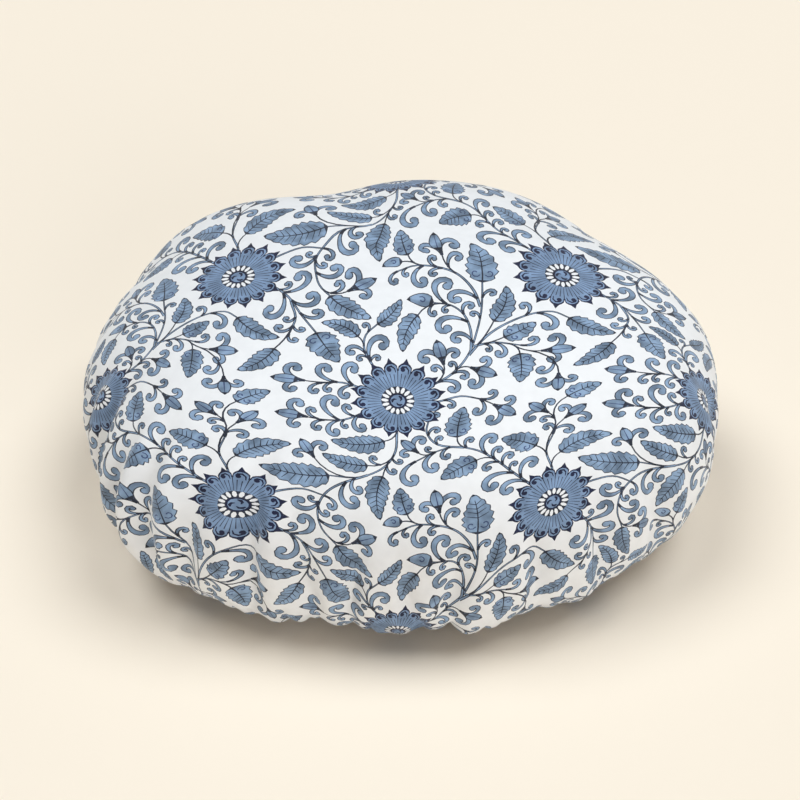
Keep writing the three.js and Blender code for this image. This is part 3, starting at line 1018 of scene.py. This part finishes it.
def fill(node, values):
    for name, value in values.items():
        node.inputs[name].default_value = value


class Surface:
    """A material, and the steps that add textures to its shader."""

    def __init__(self, name, colour, sheen=0.0, specular=0.25):
        self.material = bpy.data.materials.new(name)
        self.material.use_nodes = True
        self.nodes = self.material.node_tree.nodes
        self.link = self.material.node_tree.links.new
        self.shader = self.nodes["Principled BSDF"]
        fill(self.shader, {"Base Color": colour, "Sheen Weight": sheen, "Sheen Roughness": 0.45,
                           "Specular IOR Level": specular})

    def place(self):
        return self.nodes.new("ShaderNodeTexCoord").outputs["Object"]

    def flat_place(self):
        node = self.nodes.new("ShaderNodeUVMap")
        node.uv_map = MAP_NAME
        return node.outputs["UV"]

    def texture(self, kind, place, direction=None, **values):
        """A noise texture, or a wave texture in a direction, with these socket values."""
        node = self.nodes.new("ShaderNodeTex" + kind)
        if direction:
            node.bands_direction = direction
        fill(node, values)
        self.link(place, node.inputs["Vector"])
        return node.outputs["Fac"]

    def scaled(self, output, factor, term):
        """The output times a factor plus a term, which are outputs or numbers."""
        node = self.nodes.new("ShaderNodeMath")
        node.operation = "MULTIPLY_ADD"
        for socket, value in zip(node.inputs, (output, factor, term)):
            if isinstance(value, float):
                socket.default_value = value
            else:
                self.link(value, socket)
        return node.outputs[0]

    def finish(self, height, roughness, strength, depth):
        """Adds bumps and roughness, and gives the finished material."""
        node = self.nodes.new("ShaderNodeBump")
        fill(node, {"Strength": strength, "Distance": depth * MM})
        self.link(height, node.inputs["Height"])
        self.link(node.outputs["Normal"], self.shader.inputs["Normal"])
        self.link(roughness, self.shader.inputs["Roughness"])
        return self.material

    def patches(self, noise, colour, variation):
        """The colour in soft patches, lighter and darker by this share."""
        ramp = self.nodes.new("ShaderNodeValToRGB")
        levels = (1 - variation, 1 + variation)
        for stop, position, level in zip(ramp.color_ramp.elements, PATCH_STOPS, levels):
            stop.position = position
            stop.color = [level * value for value in colour[:3]] + [1]
        self.link(noise, ramp.inputs["Fac"])
        self.link(ramp.outputs["Color"], self.shader.inputs["Base Color"])


def woven(name, colour, variation, span, roughness, strength):
    """Plain-woven cloth; span is how wide the piece's flat map is."""
    cloth = Surface(name, colour, sheen=0.25)
    place = cloth.flat_place()
    cloth.patches(cloth.texture("Noise", place, Scale=span / PATCH_WIDTH, Detail=2.0), colour, variation)
    thread = {"Scale": span / THREAD_WIDTH / THREADS_PER_SCALE, "Distortion": 0.6, "Detail": 1.0}
    threads = [cloth.texture("Wave", place, direction, **thread) for direction in "XY"]
    slubs = cloth.texture("Noise", place, Scale=span / SLUB_WIDTH, Detail=4.0)
    rough = cloth.scaled(slubs, 0.2, roughness - 0.1)
    return cloth.finish(cloth.scaled(*threads, slubs), rough, strength, depth=0.12)


def film():
    sheet = Surface("lining_film", FILM_WHITE)
    crinkle = sheet.texture("Noise", sheet.place(), Scale=160.0, Detail=5.0)
    return sheet.finish(crinkle, sheet.scaled(crinkle, 0.7, 0.0), strength=0.5, depth=0.3)


def ribbed_elastic():
    elastic = Surface("elastic", ELASTIC_WHITE, sheen=0.2)
    place = elastic.place()
    ribs = elastic.texture("Wave", place, "Z", Scale=50.0)
    knit = elastic.texture("Noise", place, Scale=1200.0)
    height, roughness = elastic.scaled(ribs, 1.0, knit), elastic.scaled(knit, 1.0, 0.3)
    return elastic.finish(height, roughness, strength=0.6, depth=0.2)


def spun_thread():
    thread = Surface("thread", THREAD_WHITE, sheen=0.15)
    twist = thread.texture("Wave", thread.place(), "DIAGONAL", Scale=700.0, Distortion=1.0)
    return thread.finish(twist, thread.scaled(twist, 0.15, 0.55), strength=0.5, depth=0.1)


# The studio: camera and light
CAMERA_ELEVATION = 38.0
CAMERA_DISTANCE = 870.0
CAMERA_TARGET = (AXIS[0] + 0.9, AXIS[1], 41.7)
CAMERA_LENS = 85.0
# Soft lamps: where each shines from, its spread in degrees, its strength and colour
LAMPS = (
    ("left key", (-0.45, 0.1, 1.0), 34.0, 1.48, (0.92, 0.97, 1.0)),
    ("right key", (0.45, 0.1, 1.0), 34.0, 1.50, (0.92, 0.97, 1.0)),
    ("fill", (0.5, -1.0, 0.25), 40.0, 1.08, (0.96, 0.98, 1.0)),
)
WORLD_LEVEL = 0.13
WORLD_COLOUR = (1.0, 0.88, 0.77, 1)


def aim(obj, target):
    obj.rotation_euler = (Vector(target) - obj.location).to_track_quat("-Z", "Y").to_euler()


def place_camera():
    rise = math.radians(CAMERA_ELEVATION)
    target = Vector(CAMERA_TARGET) * MM
    data = bpy.data.cameras.new("camera")
    data.lens = CAMERA_LENS
    camera = bpy.data.objects.new("camera", data)
    camera.location = target + Vector((0, -math.cos(rise), math.sin(rise))) * CAMERA_DISTANCE * MM
    aim(camera, target)
    bpy.context.scene.collection.objects.link(camera)
    bpy.context.scene.camera = camera


def lay_floor(half_side=9.0):
    """A plain pale floor; its half side is in metres."""
    surface = Surface("floor", FLOOR_CREAM, specular=0.0)
    fill(surface.shader, {"Roughness": 0.95})
    corners = np.array(((-1, -1, 0), (1, -1, 0), (1, 1, 0), (-1, 1, 0))) * half_side / MM
    floor = new_object("floor", corners, [(0, 1, 2, 3)], [surface.material])


def light_studio():
    """The lamps, a dim warm world, and a cream backdrop that only the camera sees."""
    for name, place, spread, power, colour in LAMPS:
        data = bpy.data.lights.new(name, "SUN")
        data.angle = math.radians(spread)
        data.energy = power
        data.color = colour
        lamp = bpy.data.objects.new(name, data)
        lamp.location = place
        aim(lamp, (0, 0, 0))
        bpy.context.scene.collection.objects.link(lamp)
    world = bpy.data.worlds.new("studio")
    bpy.context.scene.world = world
    world.use_nodes = True
    nodes, links = world.node_tree.nodes, world.node_tree.links
    soft = nodes["Background"]
    fill(soft, {"Color": WORLD_COLOUR, "Strength": WORLD_LEVEL})
    seen = nodes.new("ShaderNodeBackground")
    fill(seen, {"Color": BACKDROP_CREAM})
    path = nodes.new("ShaderNodeLightPath")
    mix = nodes.new("ShaderNodeMixShader")
    links.new(path.outputs["Is Camera Ray"], mix.inputs["Fac"])
    links.new(soft.outputs[0], mix.inputs[1])
    links.new(seen.outputs[0], mix.inputs[2])
    links.new(mix.outputs[0], nodes["World Output"].inputs["Surface"])


def dress():
    """Makes the pieces, hangs them on the root body, hides the parts that they stand in for, and gives the
    elastic its material.
    """
    thread = spun_thread()
    hem = gathered_hem(woven("hem_fabric", HEM_WHITE, HEM_VARIATION, FULL_TURN * HEM_OUTER_RADIUS, 0.8, 0.5))
    inks = [woven("printed_fabric_" + name, colour, variation, 2 * FLAT_RADIUS, 0.72, 0.35)
            for name, colour, variation in INKS]
    shell = printed_shell(inks)
    lining = film_lining(film())
    needle = seam_stitches("needle_stitches", HEM_OUTER_RADIUS, 1, thread)
    bobbin = seam_stitches("bobbin_stitches", HEM_INNER_RADIUS, -1, thread)
    for piece, node, slot in (
        (shell, "outer_shell", "printed_fabric"),
        (lining, "inner_lining", "lining_film"),
        (hem, "hem_casing", "hem_fabric"),
        (needle, "needle_thread", "thread"),
        (bobbin, "bobbin_thread", "thread"),
    ):
        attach(piece, "root")
        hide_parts(node)
    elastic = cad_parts["elastic_band"]
    elastic.data.materials.clear()
    elastic.data.materials.append(ribbed_elastic())


def main():
    bpy.context.scene.view_settings.view_transform = "Standard"
    place_camera()
    lay_floor()
    light_studio()
    dress()


main()
